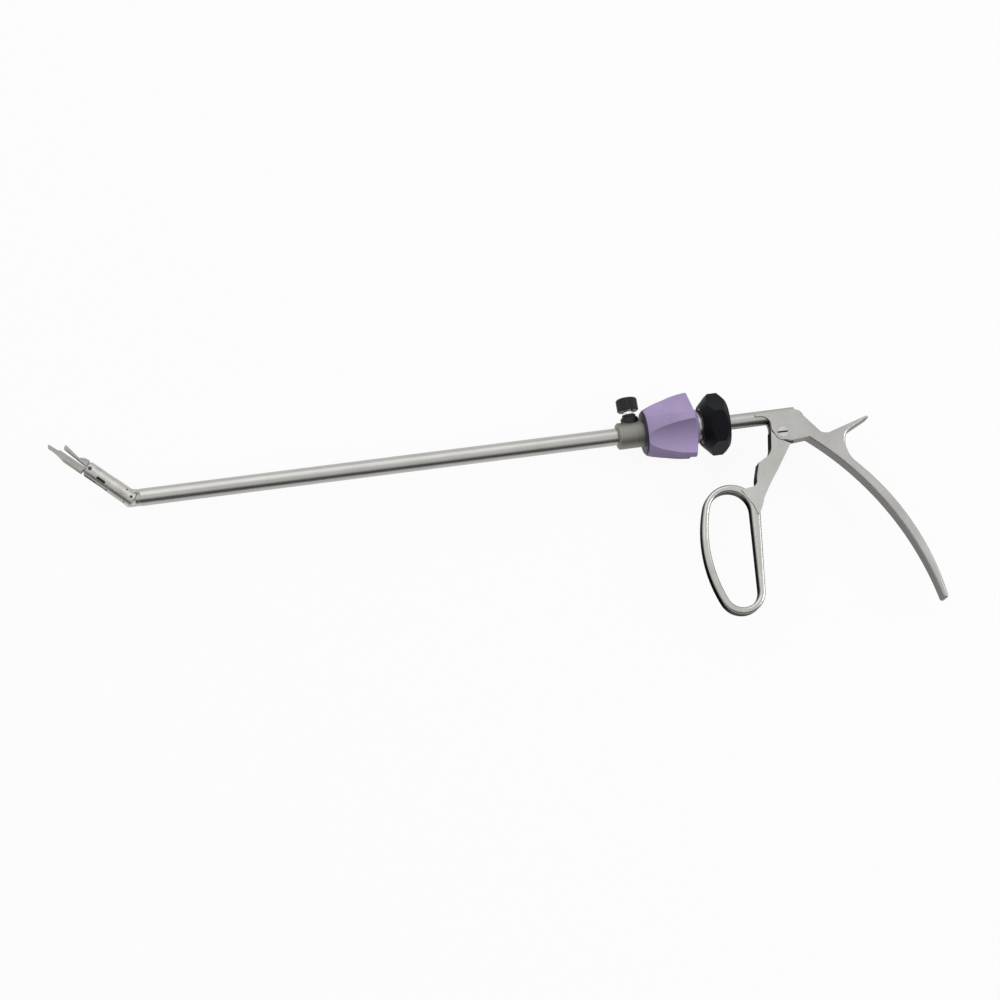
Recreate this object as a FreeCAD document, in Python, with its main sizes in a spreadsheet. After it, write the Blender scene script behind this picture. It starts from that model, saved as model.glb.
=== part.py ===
import FreeCAD, Part
import math
import os
import Sketcher

# Laparoscopic clip applier, in millimetres, lying on its side.
# X runs along the shaft towards the handle, Y towards the flush port and away from the finger
# loop, Z out of the handle's flat side. The origin is on the shaft's axis at the collar's front face.

Vector = FreeCAD.Vector

SIZES = {
    # shaft
    "tube_reach": 283.0,            # elbow axis to the collar's front face
    "tube_radius": 5.0,
    "tube_wall": 0.7,
    "tube_seat_radius": 4.8,        # where collar, knob and tail grip the tube
    "collar_radius": 7.75,
    "collar_length": 15.7,
    "collar_chamfer": 0.8,
    "running_gap": 0.1,             # turning and sliding fits
    "free_gap": 0.3,                # between pieces that only pass each other
    # flush port
    "port_place": 8.9,              # port axis behind the collar's front face
    "port_base_radius": 5.2,
    "port_base_top": 10.6,          # heights above the shaft's axis
    "port_neck_radius": 4.0,
    "port_neck_top": 11.9,
    "port_stem_radius": 2.9,
    "port_stem_bore": 1.2,
    "port_stem_top": 18.0,
    "port_stem_seat": 0.9,          # depth of the stem in the collar's wall
    "port_cap_radius": 6.2,
    "port_cap_bottom": 14.2,
    "port_cap_top": 21.6,
    "port_cap_ribs": 16,
    "port_cap_rib_radius": 0.75,
    "port_seal_thickness": 0.8,
    # rotation knob
    "ring_radius": 12.6,
    "ring_thickness": 1.0,
    "knob_front_radius": 13.3,
    "knob_shoulder_radius": 17.5,
    "knob_radius": 20.5,
    "knob_shoulder_place": 12.0,    # behind the knob's front face
    "knob_peak_place": 26.0,
    "knob_rear_place": 28.9,
    "knob_rear_radius": 13.5,
    "knob_hub_radius": 10.6,
    "knob_length": 31.0,
    "knob_flutes": 5,
    "flute_radius": 14.0,
    "flute_distance": 27.1,         # from the shaft's axis to a flute's centre
    "flute_set_angle": 119.0,
    "knob_screw_radius": 1.5,
    "knob_screw_length": 6.0,
    "knob_screw_place": 20.0,
    # articulation wheel
    "wheel_gap": 2.2,               # bare tail between knob and wheel
    "wheel_length": 15.4,
    "wheel_corner_radius": 18.2,
    "wheel_front_radius": 11.8,
    "wheel_rear_radius": 14.2,
    "wheel_front_bevel": 6.2,
    "wheel_rear_bevel": 3.8,
    "wheel_set_angle": 77.0,
    "wheel_bore_radius": 10.4,
    "wheel_rear_wall": 1.6,
    "wheel_nut_wall": 0.9,
    # shaft tail and neck bearing
    "tail_radius": 8.0,
    "tail_bore_radius": 5.3,
    "tail_neck_radius": 4.5,        # bore in front of the bush
    "tail_plug_length": 6.0,        # of the tail inside the knob
    "tail_length": 15.7,           # behind the knob's rear face
    "tail_nut_length": 2.4,
    "bush_length": 2.4,
    "clip_thickness": 0.8,
    "clip_height": 0.7,             # of the retaining clip above the bar
    "clip_seat_depth": 0.5,
    # pull tube and tilt link
    "pull_tube_radius": 4.0,
    "pull_tube_wall": 0.7,
    "pull_end_setback": 16.4,       # of the pull tube's full round end behind the elbow's axis
    "pull_finger_length": 3.2,
    "pull_pin_setback": 15.0,
    "pull_pin_height": 3.1,
    "pull_tail_place": 56.0,
    "key_radius": 1.2,
    "key_place": 54.2,
    "key_travel": 3.0,
    "key_ring_length": 2.4,
    "link_thickness": 1.3,
    "link_half_height": 0.75,
    "link_pin_radius": 0.5,
    "link_pin_half": 3.6,
    "link_eye_radius": 1.25,
    "link_play": 0.35,
    "link_way_height": 1.5,
    "head_link_along": 4.4,
    "head_link_across": 2.2,
    # drive
    "rod_radius": 1.5,
    "rod_tip_setback": 7.0,         # behind the elbow's axis
    "rod_neck_radius": 1.05,
    "rod_neck_length": 6.5,
    "strip_seat": 3.0,
    "ball_radius": 2.1,
    "strip_thickness": 0.5,
    "strip_width": 1.6,
    "strip_end": 6.3,
    "seal_length": 4.0,
    "seal_place": 6.0,
    # elbow
    "head_bend": 43.0,              # degrees, as photographed
    "tongue_half_width": 2.2,
    "tongue_gap": 1.1,
    "tongue_upper_radius": 4.15,
    "tongue_plug": 4.7,
    "cheek_radius": 5.1,
    "elbow_pin_radius": 0.9,
    "lug_end": 1.8,
    "stop_drop": 0.9,               # of the cheek's stop face below the shaft's axis
    # head
    "head_radius": 4.8,
    "sleeve_length": 13.5,
    "yoke_length": 31.0,
    "yoke_slot_half": 2.35,
    "window_start": 16.6,
    "window_length": 6.0,
    "window_width": 1.5,
    "window_drop": 1.9,
    "jaw_pin_setback": 2.5,         # behind the yoke's front end
    "jaw_pin_radius": 1.2,
    "jaw_half_width": 2.6,
    "jaw_root_gap": 0.4,            # between the yoke's front end and the jaws' blades
    "jaw_nose_place": 18.0,         # of the lower jaw's step ahead of its root
    "tail_inner": 0.55,
    "tail_outer": 2.1,
    "tail_end": 17.8,
    "tail_half_height": 1.9,
    "lower_jaw_reach": 25.0,        # ahead of the yoke's front end
    "upper_jaw_reach": 17.0,
    "clip_groove_half": 0.8,
    "clip_groove_depth": 0.6,
    "pusher_start": 6.5,
    "pusher_radius": 1.9,
    "pusher_blade_half": 0.45,
    "pusher_blade_height": 1.5,
    "drive_pin_place": 20.2,
    "drive_pin_radius": 0.8,
    "drive_pin_travel": 3.03,
    "cam_rise": 0.285,
    "cam_play": 0.12,
    # handle
    "bar_radius": 4.3,
    "bar_front": 56.9,
    "bar_end": 106.5,
    "bar_bore_radius": 2.0,
    "pivot_place": 96.5,
    "pivot_drop": 10.8,
    "handle_half": 5.5,
    "handle_top": 1.8,
    "slot_half": 2.6,
    "slot_front": 88.9,
    "slot_rear": 103.1,
    "slot_roof": 3.1,
    "grip_edge": 1.5,
    "screw_radius": 2.2,
    "screw_head_radius": 3.1,
    "screw_head_height": 1.3,
    "screw_slot_width": 1.0,
    "screw_slot_depth": 0.7,
    # trigger lever
    "loop_top_place": 58.6,         # the loop's outer edge: two circles and a bowed front
    "loop_top_drop": 54.4,
    "loop_top_radius": 16.8,
    "loop_foot_place": 56.6,
    "loop_foot_drop": 100.8,
    "loop_foot_radius": 13.5,
    "loop_bow": 80.0,
    "finger_top_place": 57.6,       # the loop's inner edge, drawn the same way
    "finger_top_drop": 54.0,
    "finger_top_radius": 12.2,
    "finger_foot_place": 56.8,
    "finger_foot_drop": 100.5,
    "finger_foot_radius": 9.7,
    "blade_half": 5.2,
    "tongue_half": 2.4,             # of the part inside the handle's slot
    "tongue_radius": 5.2,
    "tongue_foot": 9.2,             # below the pivot
    "boss_radius": 4.6,             # of the handle's plate under the pivot
    "lever_lean": 8.0,
    "arm_half": 4.4,
    "arm_top": 13.2,
    "fork_bottom": 8.0,
    "loop_half": 4.6,
    "loop_edge": 1.5,
}


def as_size(thing):
    if isinstance(thing, Size):
        return thing
    return Size(float(thing), repr(float(thing)))


class Size:
    """A number that remembers the sheet expression it comes from."""

    def __init__(self, value, text):
        self.value = value
        self.text = text

    def __add__(self, other):
        other = as_size(other)
        return Size(self.value + other.value, "(%s + %s)" % (self.text, other.text))

    def __radd__(self, other):
        return as_size(other) + self

    def __sub__(self, other):
        other = as_size(other)
        return Size(self.value - other.value, "(%s - %s)" % (self.text, other.text))

    def __rsub__(self, other):
        return as_size(other) - self

    def __mul__(self, other):
        other = as_size(other)
        return Size(self.value * other.value, "(%s * %s)" % (self.text, other.text))

    def __rmul__(self, other):
        return as_size(other) * self

    def __truediv__(self, other):
        other = as_size(other)
        return Size(self.value / other.value, "(%s / %s)" % (self.text, other.text))

    def __neg__(self):
        return Size(-self.value, "(0 - %s)" % self.text)


def root_of(size):
    size = as_size(size)
    return Size(math.sqrt(size.value), "sqrt(%s)" % size.text)


class Sheet:
    """Gives each driving dimension as a Size."""

    def __getattr__(self, name):
        return Size(SIZES[name], "Sizes.%s" % name)


def make_sheet(doc):
    cells = doc.addObject("Spreadsheet::Sheet", "Sizes")
    for row, (name, value) in enumerate(SIZES.items(), start=1):
        cells.set("A%d" % row, name)
        cells.set("B%d" % row, repr(value))
        cells.setAlias("B%d" % row, name)
    doc.recompute()


doc = FreeCAD.newDocument("clip_applier")
make_sheet(doc)
S = Sheet()
PIECES = []


# Modelling steps shared by all pieces

def new_body(label):
    body = doc.addObject("PartDesign::Body", label)
    body.Label = label
    PIECES.append(body)
    return body


def origin_part(body, role):
    return [part for part in body.Origin.OriginFeatures if part.Role == role][0]


def new_sketch(body, plane="XY_Plane", shift=(0, 0, 0), turn=None):
    sketch = body.newObject("Sketcher::SketchObject", "Sketch")
    sketch.AttachmentSupport = [(origin_part(body, plane), "")]
    sketch.MapMode = "FlatFace"
    turn = as_size(0 if turn is None else turn)
    sizes = [as_size(value) for value in shift]
    base = Vector(*[size.value for size in sizes])
    rotation = FreeCAD.Rotation(Vector(0, 0, 1), turn.value if turn.value else 0.0)
    sketch.AttachmentOffset = FreeCAD.Placement(base, rotation)
    for axis, size in zip("xyz", sizes):
        if size.value:
            sketch.setExpression("AttachmentOffset.Base.%s" % axis, size.text)
    if turn.value:
        sketch.setExpression("AttachmentOffset.Rotation.Angle", turn.text)
    return sketch


def bind(sketch, kind, places, size):
    size = as_size(size)
    index = sketch.addConstraint(Sketcher.Constraint(kind, *places, size.value))
    sketch.setExpression("Constraints[%d]" % index, size.text)


def arc_between(start, end, radius, turn):
    """Arc that runs to the left (turn 1) or to the right (turn -1) of its chord's start."""
    chord = end - start
    half = chord.Length / 2
    rise = math.sqrt(max(radius * radius - half * half, 0.0))
    side = Vector(-chord.y, chord.x, 0).normalize() * turn
    centre = (start + end) * 0.5 + side * rise
    first, last = (start, end) if turn > 0 else (end, start)
    angles = [math.atan2(place.y - centre.y, place.x - centre.x) for place in (first, last)]
    if angles[1] < angles[0]:
        angles[1] += 2 * math.pi
    return Part.ArcOfCircle(Part.Circle(centre, Vector(0, 0, 1), radius), *angles)


def outline(sketch, points):
    """Closed outline. A point is (x, y), or (x, y, radius, turn) where an arc leads to it."""
    corners = [(as_size(point[0]), as_size(point[1])) for point in points]
    places = [Vector(x.value, y.value, 0) for x, y in corners]
    ends = []
    for number, point in enumerate(points):
        start, end = places[number - 1], places[number]
        if len(point) == 2:
            index = sketch.addGeometry(Part.LineSegment(start, end))
            ends.append((index, 1, 2))
            continue
        radius = as_size(point[2])
        index = sketch.addGeometry(arc_between(start, end, radius.value, point[3]))
        ends.append((index, 1, 2) if point[3] > 0 else (index, 2, 1))
        bind(sketch, "Radius", (index,), radius)
    for number, (x, y) in enumerate(corners):
        index, first, last = ends[number]
        follower, follower_first, follower_last = ends[(number + 1) % len(ends)]
        sketch.addConstraint(Sketcher.Constraint("Coincident", index, last, follower, follower_first))
        bind(sketch, "DistanceX", (-1, 1, index, last), x)
        bind(sketch, "DistanceY", (-1, 1, index, last), y)


def circle(sketch, x, y, radius):
    x, y, radius = as_size(x), as_size(y), as_size(radius)
    shape = Part.Circle(Vector(x.value, y.value, 0), Vector(0, 0, 1), radius.value)
    index = sketch.addGeometry(shape)
    bind(sketch, "DistanceX", (-1, 1, index, 3), x)
    bind(sketch, "DistanceY", (-1, 1, index, 3), y)
    bind(sketch, "Radius", (index,), radius)


def rectangle(sketch, left, bottom, right, top):
    outline(sketch, [(right, bottom), (right, top), (left, top), (left, bottom)])


def extrude(body, kind, sketch, length, middle=True, back=False):
    feature = body.newObject("PartDesign::" + kind, kind)
    feature.Profile = sketch
    length = as_size(length)
    feature.Length = length.value
    feature.setExpression("Length", length.text)
    feature.Midplane = middle
    feature.Reversed = back
    return feature


def turn_about(body, kind, sketch, axis="H_Axis"):
    feature = body.newObject("PartDesign::" + kind, kind)
    feature.Profile = sketch
    feature.ReferenceAxis = (sketch, [axis])
    feature.Angle = 360.0
    return feature


def mirrored(body, feature, plane="XY_Plane"):
    copy = body.newObject("PartDesign::Mirrored", "Mirrored")
    copy.Originals = [feature]
    copy.MirrorPlane = (origin_part(body, plane), [""])
    body.Tip = copy
    return copy


def around(body, feature, axis_role, count):
    ring = body.newObject("PartDesign::PolarPattern", "PolarPattern")
    ring.Originals = [feature]
    ring.Axis = (origin_part(body, axis_role), [""])
    ring.Angle = 360.0
    ring.Occurrences = int(as_size(count).value)
    ring.setExpression("Occurrences", as_size(count).text)
    body.Tip = ring
    return ring


def around_sketch_normal(body, feature, sketch, count):
    ring = body.newObject("PartDesign::PolarPattern", "PolarPattern")
    ring.Originals = [feature]
    ring.Axis = (sketch, ["N_Axis"])
    ring.Angle = 360.0
    ring.Occurrences = int(as_size(count).value)
    ring.setExpression("Occurrences", as_size(count).text)
    body.Tip = ring
    return ring


def rim_edges(feature, height, wanted):
    """Names of the flat rim edges at this height above and below, whose middle is wanted."""
    names = []
    for number, edge in enumerate(feature.Shape.Edges, start=1):
        middle = edge.valueAt((edge.FirstParameter + edge.LastParameter) / 2)
        level = edge.BoundBox.ZLength < 1e-6 and abs(abs(middle.z) - height.value) < 1e-6
        if level and wanted(middle):
            names.append("Edge%d" % number)
    return names


def round_rims(body, height, radius, wanted):
    doc.recompute()
    base = body.Tip
    fillet = body.newObject("PartDesign::Fillet", "Fillet")
    fillet.Base = (base, rim_edges(base, height, wanted))
    fillet.Radius = radius.value
    fillet.setExpression("Radius", radius.text)
    return fillet


def turned(label, points, axis="H_Axis", shift=(0, 0, 0)):
    """A piece turned about the shaft's axis, or about an upright axis."""
    body = new_body(label)
    sketch = new_sketch(body, shift=shift)
    outline(sketch, points)
    turn_about(body, "Revolution", sketch, axis)
    return body


def ring_points(left, right, inner, outer):
    return [(right, inner), (right, outer), (left, outer), (left, inner)]


def place_in_head(body):
    """Head pieces are drawn straight, with the elbow's axis at the origin, and tilted here."""
    body.Placement = FreeCAD.Placement(Vector(-S.tube_reach.value, 0, 0),
                                       FreeCAD.Rotation(Vector(0, 0, 1), -S.head_bend.value))
    body.setExpression("Placement.Base.x", (-S.tube_reach).text)
    body.setExpression("Placement.Rotation.Angle", (-S.head_bend).text)


# Places along the shaft that several pieces share

ELBOW = -S.tube_reach
TUBE_FRONT = ELBOW + S.cheek_radius
TUBE_BORE = S.tube_radius - S.tube_wall
RING_FRONT = S.collar_length - S.ring_thickness + 0.7
PULL_END = S.tube_reach - S.pull_end_setback
PULL_PIN = S.tube_reach - S.pull_pin_setback
ROD_TIP = S.tube_reach - S.rod_tip_setback
JAW_PIN = S.yoke_length - S.jaw_pin_setback
JAW_ROOT = S.yoke_length + S.jaw_root_gap
LOWER_TIP = S.yoke_length + S.lower_jaw_reach
UPPER_TIP = S.yoke_length + S.upper_jaw_reach
KNOB_FRONT = RING_FRONT + S.ring_thickness
KNOB_REAR = KNOB_FRONT + S.knob_length
WHEEL_FRONT = KNOB_REAR + S.wheel_gap
WHEEL_REAR = WHEEL_FRONT + S.wheel_length
TAIL_END = KNOB_REAR + S.tail_length
BAR_BUSH_FRONT = TAIL_END - S.tail_nut_length - S.bush_length - S.running_gap
TAIL_FRONT = KNOB_REAR - S.tail_plug_length
TAIL_LAP = S.tail_plug_length * 0.6
TAIL_PLUG_RADIUS = S.tail_radius - 1.0
ARM_BALL = S.pivot_place + S.pivot_drop * math.tan(math.radians(SIZES["lever_lean"]))


# Shaft

def outer_tube():
    """Tube with one outer diameter up to the collar, turned down behind it for what grips it there."""
    rear = TAIL_FRONT + TAIL_LAP
    body = turned("outer_tube", [
        (rear, TUBE_BORE), (rear, S.tube_seat_radius), (0, S.tube_seat_radius), (0, S.tube_radius),
        (TUBE_FRONT, S.tube_radius), (TUBE_FRONT, TUBE_BORE)])
    notch = new_sketch(body)
    rectangle(notch, TUBE_FRONT - 1, 0, TUBE_FRONT + 7.0, S.tube_radius + 1)
    extrude(body, "Pocket", notch, S.link_thickness + 2 * S.free_gap)
    inlet = new_sketch(body, "XZ_Plane")
    circle(inlet, S.port_place, 0, S.port_stem_bore)
    extrude(body, "Pocket", inlet, S.tube_radius + 1, middle=False, back=False)


def shaft_collar():
    body = turned("shaft_collar", [
        (S.collar_length, S.tube_seat_radius), (S.collar_length, S.collar_radius),
        (S.collar_chamfer, S.collar_radius), (0, S.collar_radius - S.collar_chamfer),
        (0, S.tube_seat_radius)])
    seat = new_sketch(body, "XZ_Plane", shift=(0, 0, -S.collar_radius - 1))
    circle(seat, S.port_place, 0, S.port_stem_radius)
    extrude(body, "Pocket", seat, S.port_stem_seat + 1, middle=False, back=True)
    inlet = new_sketch(body, "XZ_Plane", shift=(0, 0, -S.collar_radius - 1))
    circle(inlet, S.port_place, 0, S.port_stem_bore)
    extrude(body, "Pocket", inlet, S.collar_radius + 1, middle=False, back=True)


def elbow_tongue():
    """Forked tongue that is pressed into the tube's end and carries the head."""
    body = turned("elbow_tongue", [
        (TUBE_FRONT + S.tongue_plug, 0), (TUBE_FRONT + S.tongue_plug, TUBE_BORE),
        (TUBE_FRONT, TUBE_BORE), (TUBE_FRONT, S.head_radius),
        (ELBOW - S.head_radius, S.head_radius), (ELBOW - S.head_radius, 0)])
    bore = new_sketch(body, "YZ_Plane", shift=(0, 0, ELBOW + 2.4))
    circle(bore, 0, 0, S.rod_radius + 2 * S.running_gap)
    extrude(body, "Pocket", bore, 20, middle=False, back=True)
    slit = new_sketch(body)
    rectangle(slit, ELBOW - 6, -1.8, ELBOW + 2.4, S.head_radius + 1)
    extrude(body, "Pocket", slit, 2 * S.tongue_gap)
    link_way = new_sketch(body)
    rectangle(link_way, ELBOW, S.link_way_height, TUBE_FRONT + S.tongue_plug + 1, S.head_radius + 1)
    extrude(body, "Pocket", link_way, S.link_thickness + 2 * S.free_gap)
    upper = new_sketch(body)
    outline(upper, [
        (ELBOW, S.tongue_upper_radius, S.tongue_upper_radius, -1), (ELBOW, S.head_radius + 1),
        (ELBOW - 6, S.head_radius + 1), (ELBOW - 6, 0), (ELBOW - S.tongue_upper_radius, 0)])
    extrude(body, "Pocket", upper, 12)
    lower = new_sketch(body)
    outline(lower, [
        (ELBOW, -S.head_radius, S.head_radius, 1), (ELBOW, -S.head_radius - 1),
        (ELBOW - 6, -S.head_radius - 1), (ELBOW - 6, 0), (ELBOW - S.head_radius, 0)])
    extrude(body, "Pocket", lower, 12)
    side = new_sketch(body, shift=(0, 0, S.tongue_half_width))
    lug_back = ELBOW + S.lug_end + S.free_gap
    arc_foot = ELBOW + root_of(S.cheek_radius * S.cheek_radius - S.stop_drop * S.stop_drop)
    outline(side, [
        (lug_back, -S.stop_drop), (arc_foot, -S.stop_drop), (ELBOW, S.cheek_radius, S.cheek_radius, 1),
        (ELBOW, S.head_radius + 2), (ELBOW - 7, S.head_radius + 2), (ELBOW - 7, -S.head_radius - 2),
        (lug_back, -S.head_radius - 2)])
    cheek = extrude(body, "Pocket", side, 4, middle=False, back=True)
    mirrored(body, cheek)
    hole = new_sketch(body)
    circle(hole, ELBOW, 0, S.elbow_pin_radius + S.running_gap / 2)
    extrude(body, "Pocket", hole, 12)


def shaft_tail():
    """Slotted steel tail behind the knob, on which the wheel turns and the handle's neck is held."""
    shoulder = BAR_BUSH_FRONT - S.clip_thickness - S.free_gap
    body = turned("shaft_tail", [
        (TAIL_END - S.tail_nut_length, S.tail_bore_radius), (TAIL_END - S.tail_nut_length, S.tail_radius),
        (KNOB_REAR, S.tail_radius), (KNOB_REAR, TAIL_PLUG_RADIUS), (TAIL_FRONT, TAIL_PLUG_RADIUS),
        (TAIL_FRONT, S.tube_seat_radius), (TAIL_FRONT + TAIL_LAP, S.tube_seat_radius),
        (TAIL_FRONT + TAIL_LAP, S.tail_neck_radius), (shoulder, S.tail_neck_radius),
        (shoulder, S.tail_bore_radius)])
    slot = new_sketch(body)
    rectangle(slot, S.key_place - S.key_radius - S.key_travel, -S.key_radius - S.running_gap,
              S.key_place + S.key_radius + S.running_gap * 2, S.key_radius + S.running_gap)
    extrude(body, "Pocket", slot, 4 * S.tail_radius)


def tail_nut():
    turned("tail_nut", ring_points(TAIL_END - S.tail_nut_length, TAIL_END,
                                   S.bar_radius + S.running_gap, S.tail_radius))


# Flush port

def port_base():
    body = turned("port_base", [
        (S.port_base_radius, 3.0), (S.port_base_radius, S.port_base_top - 0.8),
        (S.port_base_radius - 0.8, S.port_base_top), (S.port_neck_radius, S.port_base_top),
        (S.port_neck_radius, S.port_neck_top), (S.port_stem_radius, S.port_neck_top),
        (S.port_stem_radius, 3.0)], "V_Axis", (S.port_place, 0, 0))
    saddle = new_sketch(body, "YZ_Plane")
    circle(saddle, 0, 0, S.collar_radius)
    extrude(body, "Pocket", saddle, 60)


def port_stem():
    foot = S.collar_radius - S.port_stem_seat
    body = turned("port_stem", [
        (S.port_stem_bore, foot), (S.port_stem_radius, foot), (S.port_stem_radius, S.port_stem_top - 0.5),
        (S.port_stem_radius - 0.5, S.port_stem_top), (S.port_stem_bore, S.port_stem_top)],
        "V_Axis", (S.port_place, 0, 0))
    return body


def port_seal():
    turned("port_seal", [
        (0, S.port_stem_top + 0.05), (S.port_stem_radius, S.port_stem_top + 0.05),
        (S.port_stem_radius, S.port_stem_top + 0.05 + S.port_seal_thickness),
        (0, S.port_stem_top + 0.05 + S.port_seal_thickness)], "V_Axis", (S.port_place, 0, 0))


def port_cap():
    """Ribbed moulded cap that screws on the stem."""
    cavity_top = S.port_stem_top + 0.1 + S.port_seal_thickness
    cavity = S.port_stem_radius + S.running_gap
    body = turned("port_cap", [
        (cavity, S.port_cap_bottom), (S.port_cap_radius - 0.5, S.port_cap_bottom),
        (S.port_cap_radius, S.port_cap_bottom + 0.5), (S.port_cap_radius, S.port_cap_top - 0.7),
        (S.port_cap_radius - 0.7, S.port_cap_top), (0, S.port_cap_top), (0, cavity_top),
        (cavity, cavity_top)], "V_Axis", (S.port_place, 0, 0))
    groove = new_sketch(body, "XZ_Plane", shift=(S.port_place, 0, -S.port_cap_top - 1))
    circle(groove, S.port_cap_radius + 0.35, 0, S.port_cap_rib_radius)
    cut = extrude(body, "Pocket", groove, 9, middle=False, back=True)
    around_sketch_normal(body, cut, groove, S.port_cap_ribs)


# Rotation knob

def knob_ring():
    turned("knob_ring", [
        (KNOB_FRONT, S.collar_radius), (KNOB_FRONT, S.ring_radius), (RING_FRONT + 0.5, S.ring_radius),
        (RING_FRONT, S.ring_radius - 0.5), (RING_FRONT, S.collar_radius)])


def rotation_knob():
    """Flared knob whose scooped flutes fade out towards its small end."""
    front = KNOB_FRONT
    body = turned("rotation_knob", [
        (front, S.tube_seat_radius), (front, S.knob_front_radius),
        (front + S.knob_shoulder_place, S.knob_shoulder_radius, 60, -1),
        (front + S.knob_peak_place, S.knob_radius, 60, -1),
        (front + S.knob_peak_place + 1.2, S.knob_radius - 0.6, 1.4, -1),
        (front + S.knob_rear_place, S.knob_rear_radius), (front + S.knob_rear_place, S.knob_hub_radius),
        (KNOB_REAR, S.knob_hub_radius - 0.5), (KNOB_REAR, TAIL_PLUG_RADIUS),
        (TAIL_FRONT, TAIL_PLUG_RADIUS), (TAIL_FRONT, S.tube_seat_radius)])
    scoop = new_sketch(body, "YZ_Plane", shift=(0, 0, front - 1), turn=S.flute_set_angle)
    circle(scoop, S.flute_distance, 0, S.flute_radius)
    flute = extrude(body, "Pocket", scoop, S.knob_length + 2, middle=False, back=True)
    around(body, flute, "X_Axis", S.knob_flutes)
    hole = new_sketch(body)
    circle(hole, front + S.knob_screw_place, 0, S.knob_screw_radius)
    extrude(body, "Pocket", hole, 30, middle=False, back=False)


def knob_screw():
    body = new_body("knob_screw")
    shank = new_sketch(body, shift=(0, 0, -S.tube_seat_radius))
    circle(shank, KNOB_FRONT + S.knob_screw_place, 0, S.knob_screw_radius)
    extrude(body, "Pad", shank, S.knob_screw_length, middle=False, back=True)
    socket = new_sketch(body, shift=(0, 0, -S.tube_seat_radius - S.knob_screw_length))
    flat = S.knob_screw_radius * 0.55
    middle = KNOB_FRONT + S.knob_screw_place
    rectangle(socket, middle - flat, -flat, middle + flat, flat)
    extrude(body, "Pocket", socket, 1.5, middle=False, back=True)


# Articulation wheel

def articulation_wheel():
    """Six-sided wheel with bevelled ends."""
    body = new_body("articulation_wheel")
    hexagon = new_sketch(body, "YZ_Plane", shift=(0, 0, WHEEL_FRONT), turn=S.wheel_set_angle)
    corner = S.wheel_corner_radius
    rise = corner * math.sin(math.radians(60))
    outline(hexagon, [(corner, 0), (corner / 2, rise), (-corner / 2, rise),
                      (-corner, 0), (-corner / 2, -rise), (corner / 2, -rise)])
    extrude(body, "Pad", hexagon, S.wheel_length, middle=False)
    front = new_sketch(body)
    outline(front, [(WHEEL_FRONT - 1, S.wheel_front_radius), (WHEEL_FRONT, S.wheel_front_radius),
                    (WHEEL_FRONT + S.wheel_front_bevel, corner),
                    (WHEEL_FRONT + S.wheel_front_bevel, corner + 3), (WHEEL_FRONT - 1, corner + 3)])
    turn_about(body, "Groove", front)
    rear = new_sketch(body)
    outline(rear, [(WHEEL_REAR + 1, S.wheel_rear_radius), (WHEEL_REAR + 1, corner + 3),
                   (WHEEL_REAR - S.wheel_rear_bevel, corner + 3),
                   (WHEEL_REAR - S.wheel_rear_bevel, corner), (WHEEL_REAR, S.wheel_rear_radius)])
    turn_about(body, "Groove", rear)
    bore = new_sketch(body)
    outline(bore, [
        (WHEEL_FRONT - 1, 0), (WHEEL_REAR + 1, 0),
        (WHEEL_REAR + 1, S.bar_radius + S.free_gap),
        (WHEEL_REAR - S.wheel_rear_wall, S.bar_radius + S.free_gap),
        (WHEEL_REAR - S.wheel_rear_wall, S.tail_radius + S.running_gap),
        (WHEEL_REAR - S.wheel_rear_wall - 5, S.tail_radius + S.running_gap),
        (WHEEL_REAR - S.wheel_rear_wall - 5, S.wheel_bore_radius),
        (WHEEL_FRONT - 1, S.wheel_bore_radius)])
    turn_about(body, "Groove", bore)


def wheel_nut():
    """Brass insert whose thread drives the key ring along."""
    turned("wheel_nut", ring_points(WHEEL_FRONT + 0.6, WHEEL_REAR - S.wheel_rear_wall - 5,
                                    S.wheel_bore_radius - S.wheel_nut_wall, S.wheel_bore_radius))


# Pull tube and tilt link

def pull_tube():
    """Tube that slides inside the shaft. Its upper finger pulls the head round the elbow."""
    inner = S.pull_tube_radius - S.pull_tube_wall
    body = turned("pull_tube", ring_points(-PULL_END - S.pull_finger_length, S.pull_tail_place,
                                           inner, S.pull_tube_radius))
    end = new_sketch(body)
    rectangle(end, -PULL_END - S.pull_finger_length - 1, -6, -PULL_END, 1.9)
    extrude(body, "Pocket", end, 20)
    slit = new_sketch(body)
    rectangle(slit, -PULL_END - S.pull_finger_length - 1, 0, -PULL_END + 1.2, 6)
    extrude(body, "Pocket", slit, S.link_thickness + 2 * S.running_gap)
    hole = new_sketch(body)
    circle(hole, -PULL_PIN, S.pull_pin_height, S.link_pin_radius)
    extrude(body, "Pocket", hole, 20)
    key_hole = new_sketch(body)
    circle(key_hole, S.key_place, 0, S.key_radius)
    extrude(body, "Pocket", key_hole, 20)
    inlet = new_sketch(body, "XZ_Plane")
    rectangle(inlet, S.port_place - 4.5, -1.2, S.port_place + 1.6, 1.2)
    extrude(body, "Pocket", inlet, 10, middle=False)


def key_ring():
    """Ring with two keys that pass the tail's slots into the pull tube."""
    inner = S.tail_radius + S.running_gap
    outer = S.wheel_bore_radius - S.wheel_nut_wall - S.running_gap
    body = turned("key_ring", ring_points(S.key_place - S.key_ring_length / 2,
                                          S.key_place + S.key_ring_length / 2, inner, outer))
    for back in (False, True):
        foot = S.pull_tube_radius - S.pull_tube_wall
        key = new_sketch(body, shift=(0, 0, -foot if back else foot))
        circle(key, S.key_place, 0, S.key_radius)
        extrude(body, "Pad", key, inner + 0.4 - foot, middle=False, back=back)


def rod_seal():
    turned("rod_seal", ring_points(-S.seal_place - S.seal_length, -S.seal_place,
                                   S.rod_radius + S.running_gap / 2, S.pull_tube_radius - S.pull_tube_wall))


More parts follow.
